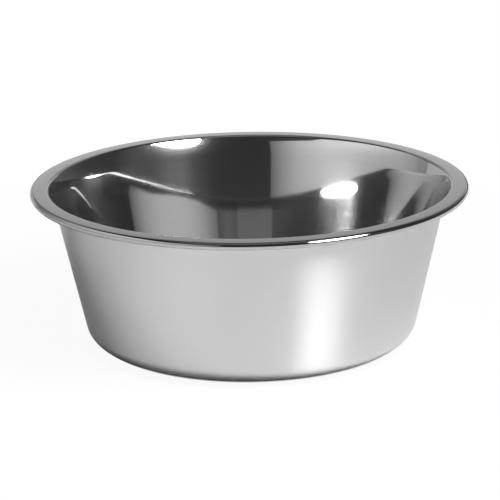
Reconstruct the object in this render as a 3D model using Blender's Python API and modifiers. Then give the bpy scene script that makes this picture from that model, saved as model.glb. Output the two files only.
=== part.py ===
"""Pressed stainless steel pet bowl: one sheet with a flat base, a flared wall, a flat flange and a curled edge.

Metres, +Z up. The origin is on the floor, on the bowl's axis, and the axis is +Z.
"""
from math import atan2, cos, pi, radians, sin, tan

import bpy
from mathutils import Vector

RIM_DIAMETER = 0.248          # over the curled outer edge
HEIGHT = 0.089                # floor to the top of the flange
SHEET = 0.0006                # thickness of the steel
WALL_FLARE = radians(12.5)    # lean of the wall from upright
FLANGE_WIDTH = 0.0090         # from where the flange turns down into the mouth to the outside of the curl
SHOULDER_RADIUS = 0.0020      # top surface, from the flange into the neck
NECK_RADIUS = 0.043           # top surface of the neck, where the wall flares out below the shoulder
NECK_FLARE = radians(15.3)    # how far the neck leans out beyond the wall
CURL_DIAMETER = 0.0041        # outside of the rolled edge
CURL_TURN = radians(300)      # how far the edge is rolled, down and back under the flange
CORNER_RADIUS = 0.0117        # outer surface, from the wall into the base
PANEL_DIAMETER = 0.124        # raised centre panel that stiffens the base
PANEL_RISE = 0.0012
PANEL_SLOPE = 0.006           # radial run of the slope between the panel and the resting ring
PANEL_BEND = 0.012            # middle radius of the two soft bends of that slope

STEPS = 72                    # flats around the bowl
SLOPE_FACETS = 2              # flats along each bend of the cross-section
CORNER_FACETS = 6
NECK_FACETS = 3
SHOULDER_FACETS = 4
CURL_FACETS = 10
MERGE_DISTANCE = 0.00001

STEEL_COLOUR = (0.60, 0.60, 0.59, 1.0)
STEEL_ROUGHNESS = 0.2


def clear_scene():
    """Remove every object that the open file holds."""
    for item in list(bpy.data.objects):
        bpy.data.objects.remove(item, do_unlink=True)


def direction(start, end):
    """Angle of the run from start to end."""
    return atan2(end[1] - start[1], end[0] - start[0])


def left_normal(angle):
    """Unit vector to the left of a run at this angle."""
    return Vector((-sin(angle), cos(angle)))


def bend(before, corner, after, radius, facets):
    """Points of a round bend at a corner of the middle line, each with the sheet's normal there."""
    angle_in = direction(before, corner)
    angle_out = direction(corner, after)
    turn = (angle_out - angle_in + pi) % (2 * pi) - pi
    setback = radius * tan(abs(turn) / 2)
    side = 1 if turn > 0 else -1
    run_in = Vector((cos(angle_in), sin(angle_in)))
    centre = Vector(corner) - run_in * setback + left_normal(angle_in) * radius * side
    return arc(centre, radius, angle_in, turn, facets)


def arc(centre, radius, angle_in, turn, facets):
    """Points along an arc that starts in the direction angle_in and turns by turn, left if positive."""
    side = 1 if turn > 0 else -1
    samples = []
    for step in range(facets + 1):
        normal = left_normal(angle_in + turn * step / facets)
        samples.append((centre - normal * radius * side, normal))
    return samples


def middle_line():
    """The sheet's middle line from the axis out to the cut edge in the curl, as points with normals."""
    half = SHEET / 2
    rim_radius = RIM_DIAMETER / 2
    flange_level = HEIGHT - half
    mouth_radius = rim_radius - FLANGE_WIDTH
    shoulder_bend = SHOULDER_RADIUS - half
    neck_bend = NECK_RADIUS - half
    neck_angle = pi / 2 - WALL_FLARE - NECK_FLARE
    shoulder_setback = shoulder_bend * tan(neck_angle / 2)
    neck_length = shoulder_setback + neck_bend * tan(NECK_FLARE / 2)
    curl_bend = CURL_DIAMETER / 2 - half
    curl_start = (rim_radius - CURL_DIAMETER / 2, flange_level)

    centre = (0.0, PANEL_RISE + half)
    panel_edge = (PANEL_DIAMETER / 2, PANEL_RISE + half)
    ring_edge = (PANEL_DIAMETER / 2 + PANEL_SLOPE, half)
    shoulder = (mouth_radius - shoulder_setback, flange_level)
    neck = (shoulder[0] - neck_length * cos(neck_angle), shoulder[1] - neck_length * sin(neck_angle))
    foot = (neck[0] - (neck[1] - half) * tan(WALL_FLARE), half)

    samples = [(Vector(centre), left_normal(0.0))]
    samples += bend(centre, panel_edge, ring_edge, PANEL_BEND, SLOPE_FACETS)
    samples += bend(panel_edge, ring_edge, foot, PANEL_BEND, SLOPE_FACETS)
    samples += bend(ring_edge, foot, neck, CORNER_RADIUS - half, CORNER_FACETS)
    samples += bend(foot, neck, shoulder, neck_bend, NECK_FACETS)
    samples += bend(neck, shoulder, curl_start, shoulder_bend, SHOULDER_FACETS)[1:]
    curl_centre = Vector(curl_start) - Vector((0.0, curl_bend))
    samples += arc(curl_centre, curl_bend, 0.0, -CURL_TURN, CURL_FACETS)
    return samples


def sheet_outline():
    """Closed cross-section of the sheet: out along the inside of the bowl, back along its outer side."""
    samples = middle_line()
    inside = [point + normal * SHEET / 2 for point, normal in samples]
    outside = [point - normal * SHEET / 2 for point, normal in samples]
    return inside + outside[::-1]


def steel(name):
    """Plain polished stainless steel."""
    material = bpy.data.materials.new(name)
    material.use_nodes = True
    shader = material.node_tree.nodes["Principled BSDF"]
    shader.inputs["Base Color"].default_value = STEEL_COLOUR
    shader.inputs["Metallic"].default_value = 1.0
    shader.inputs["Roughness"].default_value = STEEL_ROUGHNESS
    material.diffuse_color = STEEL_COLOUR
    return material


def bowl_shell(collection):
    """The bowl: its cross-section turned once around the axis."""
    outline = [(point.x, 0.0, point.y) for point in sheet_outline()]
    edges = [(index, index + 1) for index in range(len(outline) - 1)]
    mesh = bpy.data.meshes.new("bowl_shell")
    mesh.from_pydata(outline, edges, [])
    shell = bpy.data.objects.new("bowl_shell", mesh)
    collection.objects.link(shell)
    shell.data.materials.append(steel("stainless_steel"))
    turn = shell.modifiers.new("turn", "SCREW")
    turn.axis = "Z"
    turn.steps = STEPS
    turn.render_steps = STEPS
    turn.use_merge_vertices = True
    turn.merge_threshold = MERGE_DISTANCE
    turn.use_smooth_shade = True
    return shell


def main():
    clear_scene()
    collection = bpy.data.collections.new("metal_pet_bowl")
    bpy.context.scene.collection.children.link(collection)
    bowl_shell(collection)


main()
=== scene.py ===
"""Looks of the pressed steel pet bowl: a finely turned sheet with its finishes, in a plain white studio.

Metres, +Z up, in the frame's own coordinates. The photographed side faces -Y. Bearings around the bowl
are in degrees, 0 towards the camera and 90 to the right.
"""
from math import atan2, cos, pi, radians, sin, tan

import bpy
from mathutils import Matrix, Vector


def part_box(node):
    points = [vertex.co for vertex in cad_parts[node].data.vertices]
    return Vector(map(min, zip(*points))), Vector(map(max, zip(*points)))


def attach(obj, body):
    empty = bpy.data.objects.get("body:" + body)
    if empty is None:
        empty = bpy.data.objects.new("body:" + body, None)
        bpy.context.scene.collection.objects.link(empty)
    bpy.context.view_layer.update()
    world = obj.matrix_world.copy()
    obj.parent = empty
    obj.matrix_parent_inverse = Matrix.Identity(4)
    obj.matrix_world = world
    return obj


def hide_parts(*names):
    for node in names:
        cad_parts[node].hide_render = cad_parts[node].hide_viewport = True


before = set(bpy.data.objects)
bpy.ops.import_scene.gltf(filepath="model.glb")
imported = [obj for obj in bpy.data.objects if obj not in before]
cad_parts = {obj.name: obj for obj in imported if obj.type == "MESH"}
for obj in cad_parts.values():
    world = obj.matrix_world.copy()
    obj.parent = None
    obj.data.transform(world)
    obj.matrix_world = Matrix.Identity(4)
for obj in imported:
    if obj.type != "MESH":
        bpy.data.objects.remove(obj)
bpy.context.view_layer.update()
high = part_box("bowl_shell")[1]

# The sheet's cross-section, as the solid has it
RIM_RADIUS = high[0]             # over the curled outer edge
HEIGHT = high[2]
SHEET = 0.0006                   # thickness of the steel
WALL_FLARE = radians(12.5)       # lean of the wall from upright
FLANGE_WIDTH = 0.0090            # from the mouth to the outside of the curl
SHOULDER_RADIUS = 0.0020         # from the flange into the neck
NECK_RADIUS = 0.043              # where the wall flares out below the shoulder
NECK_FLARE = radians(15.3)       # how far the neck leans out beyond the wall
CURL_DIAMETER = 0.0041
CURL_TURN = radians(300)         # how far the edge is rolled, down and back under the flange
CORNER_RADIUS = 0.0117           # from the wall into the base
PANEL_RADIUS = 0.062             # raised centre panel of the base
PANEL_RISE = 0.0012
PANEL_SLOPE = 0.006
PANEL_BEND = 0.012

STEPS = 360                      # faces around the finely turned bowl
WALL_ROWS = 8                    # rows of faces up the straight wall
BASE_ROWS = 4                    # rings of faces across each flat of the base
FLANGE_ROWS = 3
SLOPE_FACETS = 6                 # rows of faces along each bend of the cross-section
CORNER_FACETS = 20
NECK_FACETS = 20
SHOULDER_FACETS = 20
CURL_FACETS = 40
ON_AXIS = 1e-9                   # a point nearer to the axis than this lies on it

# Finishes of the steel, in the order of the bowl's materials: name, grey, roughness and how far it varies,
# anisotropy, width of a polishing line, depth of its relief, share of haze
FINISHES = {
    "inside": ("steel_mirror_inside", 0.62, 0.045, 0.01, 0.6, 0.0006, 0.0000002, 0.13),
    "rim": ("steel_polished_rim", 0.62, 0.09, 0.02, 0.4, 0.0005, 0.000001, 0.0),
    # The rolled edge's grey is darker than the rest of the steel: painted shade that dims its reflections
    # and highlight
    "edge": ("steel_rolled_edge_painted_dark", 0.45, 0.05, 0.01, 0.0, 0.0005, 0.0000005, 0.0),
    "outside": ("steel_satin_outside", 0.66, 0.31, 0.03, 1.0, 0.0005, 0.000001, 0.0),
}
HAZE_ROUGHNESS = 0.21
HAZE_SPREAD = 0.3                # how far the share of haze varies
TONE_SPREAD = 0.03               # how far the grey varies along the polishing lines
QUARTER_TURN = 0.25              # from along the tangent to across it
LINES_REACH = 0.03               # how far a polishing line runs before it changes
LINES_DETAIL = 3.0
LINES_ROUGHNESS = 0.6
LINES_SHARE = 0.8                # share of the polishing lines in the varied roughness
PATCHES_SHARE = 0.2              # and that of soft patches
PATCHES_SIZE = 0.05
PATCHES_DETAIL = 2.0
NOISE_RANGE = (0.3, 0.7)         # the noise lies mostly between these

# The camera, found from the outlines of the rim, the wall and the base in the photograph
CAMERA_ELEVATION = radians(16.74)
CAMERA_ROLL = radians(-0.91)
CAMERA_DISTANCE = 1.256
CAMERA_CLIP = 0.01
LENS_MM = 157.9
SENSOR_MM = 36.0
PHOTO_SIZE = 500
BOWL_MIDDLE_PX = (250.47, 257.28)   # where the middle of the bowl lies in the photograph

# The key light: an oval softbox on the camera's right, found from the highlights. Its back faces this
# bearing and rise, and its roll is about that direction
LAMP_PLACE = (1.823, -1.70, 1.925)
LAMP_BEARING = radians(179.06)
LAMP_RISE = radians(73.23)
LAMP_ROLL = radians(-31.76)
LAMP_SIZE = (1.204, 3.4)
LAMP_RADIANCE = 20.5
EVEN_LIGHT = 0.20                # dim light from all round
GLOSSY_BOUNCES = 10

# The cards that the bowl mirrors: radius around the bowl, bearings between which each stands, height
LEFT_RADIUS = 1.0
LEFT_FACETS = 60
SIDE_RADIUS = 1.5
SIDE_BEARINGS = (-164, -131)
SIDE_HEIGHT = 0.52
BACK_RADIUS = 2.0
BACK_BEARINGS = (150.2, 196.5)
ROOM_RADIUS = 4.8
ROOM_BEARINGS = (-180, 180)
ROOM_FOOT = -0.01
ROOM_HEIGHT = 4.2
ROOM_FACETS = 72
CARD_FACETS = 24

# Height of the left panel by bearing, and its brightness low down and high up
LEFT_TOP = ((-14.4, 0.84), (-45, 0.88), (-55, 1.00), (-65, 1.20), (-78, 1.40), (-105, 1.40), (-118, 1.15),
            (-131, 0.96), (-136, 0.88))
LEFT_LOW = ((-14.4, 0.20), (-20, 0.36), (-32, 0.64), (-45, 0.80), (-54, 0.85), (-66, 0.82), (-78, 0.72),
            (-95, 0.60), (-110, 0.56), (-122, 0.46), (-127, 0.36), (-136, 0.34))
LEFT_HIGH = ((-14.4, 0.20), (-20, 0.37), (-32, 0.69), (-40, 0.82), (-57, 1.03), (-75, 1.04), (-90, 1.02),
             (-101, 0.92), (-110, 0.80), (-118, 0.69), (-126, 0.52), (-131, 0.42), (-136, 0.34))

# Brightness of the paper behind the bowl by height, and of the room's wall by bearing
BACK_PAPER = ((0.0, 0.10), (0.34, 0.14), (0.44, 0.66), (0.54, 0.63), (0.61, 0.50), (0.68, 0.40),
              (0.85, 0.34), (1.50, 0.30), (1.80, 0.27), (2.20, 0.22))
ROOM_WALL = ((-180, 0.12), (-150, 0.25), (-136, 0.14), (-60, 0.07), (-20, 0.042), (25, 0.042), (35, 0.07),
             (43, 0.155), (52, 0.155), (62, 0.10), (78, 0.10), (92, 0.055), (115, 0.06), (150, 0.14),
             (180, 0.12))

# Soft steps: where each begins and ends, and its level before and after
LEFT_BLEND = (0.35, 0.80, 0.0, 1.0)       # by height: from the panel's low brightness to its high one
LEFT_FOOT = (0.0, 0.40, 0.85, 1.0)        # by height: the panel is dimmer towards the floor
SIDE_PAPER = (0.40, 0.52, 0.56, 0.35)     # by height: brightness of the side paper
OVERHEAD = (1.0, 2.0, 0.26, 0.045)        # out from the ceiling's middle: its lighter patch
PAINTED_CONTACT_SHADOW = (0.091, 0.097, 0.12, 0.94)    # out from FOOT_SHADOW: paleness of the floor, darkened under the foot as painted contact shadow
PAINTED_RIGHT_SHADE = (-0.15, 0.25, 1.0, 0.80)     # towards the right: painted shade, the floor's colour a little darker
PAINTED_SIDE_SHADOW = (0.04, 0.14, 0.5, 0.0)      # out from SHADOW_MIDDLE: painted shadow, how much darker the floor's colour is in the bowl's mirror
MIRRORED_WHITE = (0.30, 0.80, 0.0, 1.0)   # out from SHADOW_MIDDLE: the bowl mirrors plain white
CONTACT = (0.0845, 0.0880, 0.0, 1.0)      # out from the axis: the camera sees the painted dark ring up to here
WHITENING = (0.10, 0.50, 0.94, 1.0)       # out from the axis: share of the floor that the camera sees white

FLOOR_SIZE = 12.0
FLOOR_ROUGHNESS = 0.9
AXIS_FOOT = (0.0, 0.0, 0.0)
SHADOW_MIDDLE = (-0.20, 0.13, 0.0)    # middle of the floor's side away from the key light
FOOT_SHADOW = (-0.004, -0.002, 0.0)   # middle of the painted contact shadow, a dark ring around the foot


def direction(start, end):
    """Angle of the run from start to end."""
    return atan2(end[1] - start[1], end[0] - start[0])


def left_normal(angle):
    """Unit vector to the left of a run at this angle."""
    return Vector((-sin(angle), cos(angle)))


def arc(centre, radius, angle_in, turn, facets):
    """Points along an arc that starts in the direction angle_in and turns by turn, left if positive."""
    side = 1 if turn > 0 else -1
    samples = []
    for step in range(facets + 1):
        normal = left_normal(angle_in + turn * step / facets)
        samples.append((centre - normal * radius * side, normal))
    return samples


def bend(before, corner, after, radius, facets):
    """Points of a round bend at a corner of the middle line, each with the sheet's normal there."""
    angle_in = direction(before, corner)
    angle_out = direction(corner, after)
    turn = (angle_out - angle_in + pi) % (2 * pi) - pi
    setback = radius * tan(abs(turn) / 2)
    side = 1 if turn > 0 else -1
    run_in = Vector((cos(angle_in), sin(angle_in)))
    centre = Vector(corner) - run_in * setback + left_normal(angle_in) * radius * side
    return arc(centre, radius, angle_in, turn, facets)


def run(samples, end, rows):
    """Points that divide the straight run from the last sample to the next bend's first one."""
    start, normal = samples[-1]
    return [(start.lerp(end, row / rows), normal) for row in range(1, rows)]


def middle_line():
    """The sheet's middle line as points with normals, and the number of points before the mouth's edge."""
    half = SHEET / 2
    flange_level = HEIGHT - half
    mouth_radius = RIM_RADIUS - FLANGE_WIDTH
    shoulder_bend = SHOULDER_RADIUS - half
    neck_bend = NECK_RADIUS - half
    neck_angle = pi / 2 - WALL_FLARE - NECK_FLARE
    shoulder_setback = shoulder_bend * tan(neck_angle / 2)
    neck_length = shoulder_setback + neck_bend * tan(NECK_FLARE / 2)
    curl_bend = CURL_DIAMETER / 2 - half
    curl_start = (RIM_RADIUS - CURL_DIAMETER / 2, flange_level)

    centre = (0.0, PANEL_RISE + half)
    panel_edge = (PANEL_RADIUS, PANEL_RISE + half)
    ring_edge = (PANEL_RADIUS + PANEL_SLOPE, half)
    shoulder = (mouth_radius - shoulder_setback, flange_level)
    neck = (shoulder[0] - neck_length * cos(neck_angle), shoulder[1] - neck_length * sin(neck_angle))
    foot = (neck[0] - (neck[1] - half) * tan(WALL_FLARE), half)

    slope_top = bend(centre, panel_edge, ring_edge, PANEL_BEND, SLOPE_FACETS)
    slope_foot = bend(panel_edge, ring_edge, foot, PANEL_BEND, SLOPE_FACETS)
    base_corner = bend(ring_edge, foot, neck, CORNER_RADIUS - half, CORNER_FACETS)
    neck_arc = bend(foot, neck, shoulder, neck_bend, NECK_FACETS)
    shoulder_arc = bend(neck, shoulder, curl_start, shoulder_bend, SHOULDER_FACETS)
    curl_centre = Vector(curl_start) - Vector((0.0, curl_bend))
    curl_arc = arc(curl_centre, curl_bend, 0.0, -CURL_TURN, CURL_FACETS)

    samples = [(Vector(centre), left_normal(0.0))]
    samples += run(samples, slope_top[0][0], BASE_ROWS) + slope_top + slope_foot
    samples += run(samples, base_corner[0][0], BASE_ROWS) + base_corner
    samples += run(samples, neck_arc[0][0], WALL_ROWS) + neck_arc
    mouth = len(samples) + len(shoulder_arc) // 2
    samples += shoulder_arc[1:]
    samples += run(samples, curl_arc[0][0], FLANGE_ROWS) + curl_arc
    return samples, mouth


def turned_rings(outline):
    """Vertices of a cross-section turned around the axis, and the vertex numbers of each point's ring."""
    vertices = []
    rings = []
    for point in outline:
        if point.x < ON_AXIS:
            rings.append([len(vertices)] * STEPS)
            vertices.append((0.0, 0.0, point.y))
            continue
        rings.append(range(len(vertices), len(vertices) + STEPS))
        for step in range(STEPS):
            angle = 2 * pi * step / STEPS
            vertices.append((point.x * cos(angle), point.x * sin(angle), point.y))
    return vertices, rings


def faces_between(rings, finishes):
    """Faces from each ring to the next, and the material slot of each: its finish is the next ring's."""
    names = list(FINISHES)
    faces = []
    slots = []
    for lower, upper, finish in zip(rings, rings[1:], finishes[1:]):
        for step in range(STEPS):
            following = (step + 1) % STEPS
            corners = [lower[step], lower[following], upper[following], upper[step]]
            faces.append(list(dict.fromkeys(corners)))
            slots.append(names.index(finish))
    return faces, slots


def turned_bowl():
    """The bowl's sheet as a fine turned mesh, with its finishes on the inside, flange, curl and outside; the
    curl's steel has a darker grey, painted shade.
    """
    samples, mouth = middle_line()
    inside = [point + normal * SHEET / 2 for point, normal in samples]
    outside = [point - normal * SHEET / 2 for point, normal in samples]
    curl = len(samples) - CURL_FACETS
    top_side = ["inside"] * mouth + ["rim"] * (curl - mouth) + ["edge"] * CURL_FACETS
    under_side = ["outside"] * curl + ["edge"] * CURL_FACETS
    vertices, rings = turned_rings(inside + outside[::-1])
    faces, slots = faces_between(rings, top_side + under_side[::-1])
    mesh = bpy.data.meshes.new("turned_bowl")
    mesh.from_pydata(vertices, [], faces)
    mesh.polygons.foreach_set("material_index", slots)
    mesh.shade_smooth()
    mesh.validate()
    piece = bpy.data.objects.new("turned_bowl", mesh)
    bpy.context.collection.objects.link(piece)
    for finish in FINISHES.values():
        piece.data.materials.append(steel(*finish))
    return piece


def material(name):
    """A new node material and its Principled shader."""
    made = bpy.data.materials.new(name)
    made.use_nodes = True
    return made, made.node_tree.nodes["Principled BSDF"]


def emission(name):
    """A new material that only glows, with its Emission node."""
    made = bpy.data.materials.new(name)
    made.use_nodes = True
    tree = made.node_tree
    tree.nodes.clear()
    glow = tree.nodes.new("ShaderNodeEmission")
    output = tree.nodes.new("ShaderNodeOutputMaterial")
    tree.links.new(glow.outputs[0], output.inputs["Surface"])
    return made, glow


def maths(tree, operation, first, second=0.0):
    """The output of a Math node whose inputs are sockets or numbers."""
    node = tree.nodes.new("ShaderNodeMath")
    node.operation = operation
    for socket, value in zip(node.inputs, (first, second)):
        if isinstance(value, (int, float)):
            socket.default_value = value
        else:
            tree.links.new(value, socket)
    return node.outputs[0]


def map_range(tree, value, from_min, from_max, to_min, to_max, smooth=True):
    """The output of a Map Range node."""
    node = tree.nodes.new("ShaderNodeMapRange")
    node.interpolation_type = "SMOOTHSTEP" if smooth else "LINEAR"
    node.inputs["From Min"].default_value = from_min
    node.inputs["From Max"].default_value = from_max
    node.inputs["To Min"].default_value = to_min
    node.inputs["To Max"].default_value = to_max
    tree.links.new(value, node.inputs["Value"])
    return node.outputs["Result"]


def ramp(tree, value, stops):
    """Grey level that follows a list of (value, level) stops."""
    first, last = stops[0][0], stops[-1][0]
    span = map_range(tree, value, first, last, 0.0, 1.0, smooth=False)
    node = tree.nodes.new("ShaderNodeValToRGB")
    points = node.color_ramp.elements
    while len(points) < len(stops):
        points.new(0.5)
    for point, (place, level) in zip(points, stops):
        point.position = (place - first) / (last - first)
        point.color = (level, level, level, 1.0)
    tree.links.new(span, node.inputs[0])
    return node.outputs[0]


def own_place(tree):
    """Where the shaded point lies, in the coordinates of its own piece."""
    return tree.nodes.new("ShaderNodeTexCoord").outputs["Object"]


def split(tree, place):
    """The x, y and z of a place."""
    node = tree.nodes.new("ShaderNodeSeparateXYZ")
    tree.links.new(place, node.inputs[0])
    return node.outputs


def distance_from(tree, place, middle):
    """Distance of a place from the point middle."""
    node = tree.nodes.new("ShaderNodeVectorMath")
    node.operation = "DISTANCE"
    node.inputs[1].default_value = middle
    tree.links.new(place, node.inputs[0])
    return node.outputs["Value"]


def mix_surfaces(tree, share, first, second):
    """Make the material's surface a mix of two shaders, where share is the second one's."""
    mixed = tree.nodes.new("ShaderNodeMixShader")
    tree.links.new(share, mixed.inputs["Fac"])
    tree.links.new(first.outputs[0], mixed.inputs[1])
    tree.links.new(second.outputs[0], mixed.inputs[2])
    tree.links.new(mixed.outputs[0], tree.nodes["Material Output"].inputs["Surface"])


def polishing_lines(tree, line_width):
    """Noise drawn out around the bowl's axis, as polishing on a lathe leaves it: 0 to 1."""
    x, y, z = split(tree, own_place(tree))
    squares = maths(tree, "ADD", maths(tree, "MULTIPLY", x, x), maths(tree, "MULTIPLY", y, y))
    radius = maths(tree, "SQRT", squares)
    joined = tree.nodes.new("ShaderNodeCombineXYZ")
    for side, size, socket in zip((x, y, z), (LINES_REACH, LINES_REACH, line_width), joined.inputs):
        tree.links.new(maths(tree, "DIVIDE", side, size), socket)
    noise = tree.nodes.new("ShaderNodeTexNoise")
    noise.noise_dimensions = "4D"
    noise.inputs["Scale"].default_value = 1.0
    noise.inputs["Detail"].default_value = LINES_DETAIL
    noise.inputs["Roughness"].default_value = LINES_ROUGHNESS
    tree.links.new(joined.outputs[0], noise.inputs["Vector"])
    tree.links.new(maths(tree, "DIVIDE", radius, line_width), noise.inputs["W"])
    return noise.outputs["Fac"]


def soft_patches(tree, size):
    """Plain soft noise of this size: 0 to 1."""
    noise = tree.nodes.new("ShaderNodeTexNoise")
    noise.inputs["Scale"].default_value = 1.0 / size
    noise.inputs["Detail"].default_value = PATCHES_DETAIL
    tree.links.new(own_place(tree), noise.inputs["Vector"])
    return noise.outputs["Fac"]


def add_tangent(tree, shader):
    """Point the shader's anisotropy around the bowl's axis."""
    tangent = tree.nodes.new("ShaderNodeTangent")
    tangent.direction_type = "RADIAL"
    tangent.axis = "Z"
    tree.links.new(tangent.outputs[0], shader.inputs["Tangent"])


def steel(name, grey, roughness, spread, anisotropy, line_width, depth, haze):
    """Stainless steel polished on a lathe: roughness varies by spread along the polishing lines.

    Haze is the share of the surface that fine scratches leave duller, with a roughness of its own.
    """
    made, shader = material(name)
    tree = made.node_tree
    lines = polishing_lines(tree, line_width)
    lines_part = maths(tree, "MULTIPLY", lines, LINES_SHARE)
    patches_part = maths(tree, "MULTIPLY", soft_patches(tree, PATCHES_SIZE), PATCHES_SHARE)
    varied = maths(tree, "ADD", lines_part, patches_part)
    rough = map_range(tree, varied, *NOISE_RANGE, roughness - spread, roughness + spread)
    tree.links.new(rough, shader.inputs["Roughness"])
    tone = tree.nodes.new("ShaderNodeMix")
    tone.data_type = "RGBA"
    for end, factor in (("A", 1 - TONE_SPREAD), ("B", 1 + TONE_SPREAD)):
        tone.inputs[end].default_value = (factor * grey, factor * grey, factor * grey, 1.0)
    tree.links.new(lines, tone.inputs["Factor"])
    relief = tree.nodes.new("ShaderNodeBump")
    relief.inputs["Strength"].default_value = 1.0
    relief.inputs["Distance"].default_value = depth
    tree.links.new(lines, relief.inputs["Height"])
    shaders = [shader]
    if haze:
        dull = tree.nodes.new("ShaderNodeBsdfPrincipled")
        dull.inputs["Roughness"].default_value = HAZE_ROUGHNESS
        least, most = (1 - HAZE_SPREAD) * haze, (1 + HAZE_SPREAD) * haze
        mix_surfaces(tree, map_range(tree, varied, *NOISE_RANGE, least, most), shader, dull)
        shaders.append(dull)
    for each in shaders:
        each.inputs["Metallic"].default_value = 1.0
        each.inputs["Anisotropic"].default_value = anisotropy
        each.inputs["Anisotropic Rotation"].default_value = QUARTER_TURN
        tree.links.new(tone.outputs["Result"], each.inputs["Base Color"])
        tree.links.new(relief.outputs["Normal"], each.inputs["Normal"])
        add_tangent(tree, each)
    return made


def curved_card(name, radius, bearings, bottom, top, facets=CARD_FACETS):
    """A card bent around the bowl between two bearings."""
    start, end = radians(bearings[0]), radians(bearings[1])
    vertices = []
    for step in range(facets + 1):
        bearing = start + (end - start) * step / facets
        for level in (bottom, top):
            vertices.append((radius * sin(bearing), -radius * cos(bearing), level))
    faces = [(2 * step, 2 * step + 2, 2 * step + 3, 2 * step + 1) for step in range(facets)]
    mesh = bpy.data.meshes.new(name)
    mesh.from_pydata(vertices, [], faces)
    card = bpy.data.objects.new(name, mesh)
    bpy.context.collection.objects.link(card)
    return card


def show_in_reflections_only(item):
    """Leave a card of the studio out of the camera's view, and out of the light that falls on the floor."""
    item.visible_camera = False
    item.visible_diffuse = False
    item.visible_shadow = False


def bearing_socket(tree):
    """Bearing of the shaded point around the bowl, in degrees."""
    x, y = split(tree, own_place(tree))[:2]
    turn = maths(tree, "ARCTAN2", x, maths(tree, "MULTIPLY", y, -1.0))
    return maths(tree, "MULTIPLY", turn, 180 / pi)


def height_socket(tree):
    """Height of the shaded point above the floor."""
    return split(tree, own_place(tree))["Z"]


def between(stops, value):
    """Level at this value on the straight runs between (value, level) stops."""
    for (first, before), (last, after) in zip(stops, stops[1:]):
        if (value - first) * (value - last) <= 0:
            return before + (after - before) * (value - first) / (last - first)
    return stops[-1][1]


def left_panel():
    """Large white panel on the left: brightest in its middle, and brighter towards its top."""
    card = curved_card("card_left", LEFT_RADIUS, (LEFT_TOP[0][0], LEFT_TOP[-1][0]), 0.0, 1.0, LEFT_FACETS)
    for vertex in list(card.data.vertices)[1::2]:
        vertex.co.z = between(LEFT_TOP, atan2(vertex.co.x, -vertex.co.y) * 180 / pi)
    made, glow = emission("card_left")
    tree = made.node_tree
    bearing = bearing_socket(tree)
    level = height_socket(tree)
    brightness = tree.nodes.new("ShaderNodeMix")
    tree.links.new(map_range(tree, level, *LEFT_BLEND), brightness.inputs["Factor"])
    low = maths(tree, "MULTIPLY", ramp(tree, bearing, LEFT_LOW), map_range(tree, level, *LEFT_FOOT))
    tree.links.new(low, brightness.inputs["A"])
    tree.links.new(ramp(tree, bearing, LEFT_HIGH), brightness.inputs["B"])
    tree.links.new(brightness.outputs["Result"], glow.inputs["Strength"])
    card.data.materials.append(made)
    return card


def side_paper():
    """Low white paper on the far left, next to the paper behind the bowl."""
    card = curved_card("card_side", SIDE_RADIUS, SIDE_BEARINGS, 0.0, SIDE_HEIGHT)
    made, glow = emission("card_side")
    tree = made.node_tree
    tree.links.new(map_range(tree, height_socket(tree), *SIDE_PAPER), glow.inputs["Strength"])
    card.data.materials.append(made)
    return card


def back_card():
    """Paper behind the bowl: dark at its foot, brightest just above that, and dimmer the higher it goes."""
    card = curved_card("card_back", BACK_RADIUS, BACK_BEARINGS, 0.0, BACK_PAPER[-1][0])
    made, glow = emission("card_back")
    tree = made.node_tree
    tree.links.new(ramp(tree, height_socket(tree), BACK_PAPER), glow.inputs["Strength"])
    card.data.materials.append(made)
    return card


def dark_room():
    """The unlit room around the studio: a wall all round, and a ceiling with a lighter patch overhead."""
    room = curved_card("dark_room", ROOM_RADIUS, ROOM_BEARINGS, ROOM_FOOT, ROOM_HEIGHT, ROOM_FACETS)
    ceiling = curved_card("dark_ceiling", ROOM_RADIUS, ROOM_BEARINGS, ROOM_HEIGHT, ROOM_HEIGHT, ROOM_FACETS)
    middle = (0.0, 0.0, ROOM_HEIGHT)
    for vertex in list(ceiling.data.vertices)[1::2]:
        vertex.co = middle
    made, glow = emission("dark_room")
    tree = made.node_tree
    tree.links.new(ramp(tree, bearing_socket(tree), ROOM_WALL), glow.inputs["Strength"])
    room.data.materials.append(made)
    made, glow = emission("dark_ceiling")
    tree = made.node_tree
    aside = distance_from(tree, own_place(tree), middle)
    tree.links.new(map_range(tree, aside, *OVERHEAD), glow.inputs["Strength"])
    ceiling.data.materials.append(made)
    return room, ceiling


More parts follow.
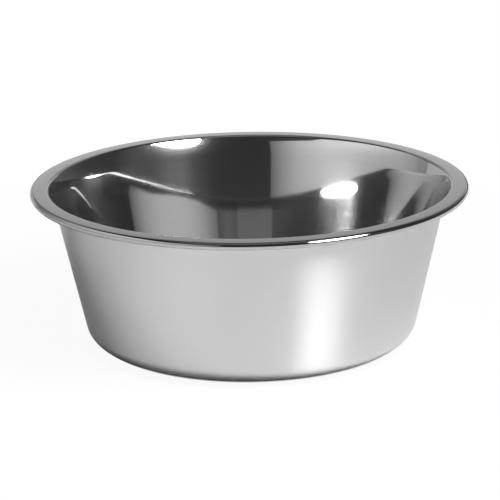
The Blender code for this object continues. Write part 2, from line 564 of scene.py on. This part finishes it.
def floor():
    """White floor with the bowl's shadow and a dark ring under its foot, painted as contact shadow, fully
    white further away. Painted shade also makes its colour a little darker towards the right.

    The bowl mirrors it darker on the side away from the key light, where painted shadow deepens the real
    shadow, and plain white beyond that.
    """
    bpy.ops.mesh.primitive_plane_add(size=FLOOR_SIZE, location=(0.0, 0.0, 0.0))
    plane = bpy.context.object
    plane.name = "floor"
    made, shader = material("floor_white")
    tree = made.node_tree
    shader.inputs["Roughness"].default_value = FLOOR_ROUGHNESS
    place = own_place(tree)
    from_axis = distance_from(tree, place, AXIS_FOOT)
    from_ring = distance_from(tree, place, FOOT_SHADOW)
    from_shadow = distance_from(tree, place, SHADOW_MIDDLE)
    rays = tree.nodes.new("ShaderNodeLightPath").outputs
    mirrored = maths(tree, "MAXIMUM", rays["Is Glossy Ray"], rays["Is Transmission Ray"])

    # Painted shadow: for mirrored rays the floor's colour is darker on the side away from the key light
    painted_side_shadow = maths(tree, "MULTIPLY", mirrored, map_range(tree, from_shadow, *PAINTED_SIDE_SHADOW))
    # Painted contact shadow: the floor's colour darkens into a ring under the foot
    floor_colour_with_painted_shade = map_range(tree, from_ring, *PAINTED_CONTACT_SHADOW)
    floor_colour_with_painted_shade = maths(tree, "MULTIPLY", floor_colour_with_painted_shade, maths(tree, "SUBTRACT", 1.0, painted_side_shadow))
    # Painted shade: the floor's colour is a little darker towards the right, dimming the bowl's mirror there
    floor_colour_with_painted_shade = maths(tree, "MULTIPLY", floor_colour_with_painted_shade, map_range(tree, split(tree, place)["X"], *PAINTED_RIGHT_SHADE))
    tree.links.new(floor_colour_with_painted_shade, shader.inputs["Base Color"])

    contact = map_range(tree, from_axis, *CONTACT)
    whitening = maths(tree, "MULTIPLY", contact, map_range(tree, from_axis, *WHITENING))
    for_camera = maths(tree, "MULTIPLY", rays["Is Camera Ray"], whitening)
    for_mirror = maths(tree, "MULTIPLY", mirrored, map_range(tree, from_shadow, *MIRRORED_WHITE))
    glow = tree.nodes.new("ShaderNodeEmission")
    mix_surfaces(tree, maths(tree, "MAXIMUM", for_camera, for_mirror), shader, glow)
    plane.data.materials.append(made)
    return plane


def placed(place, right, up, back):
    """Matrix that puts an item at this place with these axes."""
    return Matrix.Translation(place) @ Matrix((right, up, back)).transposed().to_4x4()


def add_key_light():
    """The studio's softbox, an oval area lamp."""
    back = Vector((sin(LAMP_BEARING) * cos(LAMP_RISE), -cos(LAMP_BEARING) * cos(LAMP_RISE), sin(LAMP_RISE)))
    level = Vector((cos(LAMP_BEARING), sin(LAMP_BEARING), 0.0))
    right = cos(LAMP_ROLL) * level - sin(LAMP_ROLL) * back.cross(level)
    lamp = bpy.data.lights.new("key_light", "AREA")
    lamp.shape = "ELLIPSE"
    lamp.size, lamp.size_y = LAMP_SIZE
    lamp.energy = LAMP_RADIANCE * pi * pi * LAMP_SIZE[0] * LAMP_SIZE[1] / 4
    item = bpy.data.objects.new("key_light", lamp)
    item.matrix_world = placed(LAMP_PLACE, right, back.cross(right), back)
    item.visible_camera = False
    bpy.context.collection.objects.link(item)


def set_world():
    """White background, and a dim even light from all round."""
    world = bpy.data.worlds.new("studio")
    bpy.context.scene.world = world
    world.use_nodes = True
    tree = world.node_tree
    tree.nodes.clear()
    rays = tree.nodes.new("ShaderNodeLightPath").outputs
    seen = maths(tree, "MAXIMUM", rays["Is Camera Ray"], rays["Is Glossy Ray"])
    seen = maths(tree, "MAXIMUM", seen, rays["Is Transmission Ray"])
    background = tree.nodes.new("ShaderNodeBackground")
    strength = map_range(tree, seen, 0.0, 1.0, EVEN_LIGHT, 1.0, smooth=False)
    tree.links.new(strength, background.inputs["Strength"])
    output = tree.nodes.new("ShaderNodeOutputWorld")
    tree.links.new(background.outputs[0], output.inputs["Surface"])


def set_camera():
    """The photograph's camera: its place, its roll and a long lens, aimed so that the bowl lies as there."""
    middle = Vector((0.0, 0.0, HEIGHT / 2))
    back = Vector((0.0, -cos(CAMERA_ELEVATION), sin(CAMERA_ELEVATION)))
    place = middle + back * CAMERA_DISTANCE
    level = Vector((1.0, 0.0, 0.0))
    upright = back.cross(level)
    right = cos(CAMERA_ROLL) * level + sin(CAMERA_ROLL) * upright
    up = cos(CAMERA_ROLL) * upright - sin(CAMERA_ROLL) * level
    metres_per_px = CAMERA_DISTANCE * SENSOR_MM / LENS_MM / PHOTO_SIZE
    aside = (PHOTO_SIZE / 2 - BOWL_MIDDLE_PX[0]) * metres_per_px
    above = (BOWL_MIDDLE_PX[1] - PHOTO_SIZE / 2) * metres_per_px
    back = (place - (middle + right * aside + up * above)).normalized()
    right = up.cross(back).normalized()
    camera_data = bpy.data.cameras.new("camera")
    camera_data.lens = LENS_MM
    camera_data.sensor_width = SENSOR_MM
    camera_data.clip_start = CAMERA_CLIP
    camera = bpy.data.objects.new("camera", camera_data)
    camera.matrix_world = placed(place, right, back.cross(right), back)
    bpy.context.collection.objects.link(camera)
    bpy.context.scene.camera = camera


set_camera()
bowl = turned_bowl()
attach(bowl, "root")
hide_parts("bowl_shell")

floor()
for card in (left_panel(), side_paper(), back_card(), *dark_room()):
    show_in_reflections_only(card)
add_key_light()
set_world()
bpy.context.scene.cycles.glossy_bounces = GLOSSY_BOUNCES
bpy.context.scene.view_settings.view_transform = "Standard"
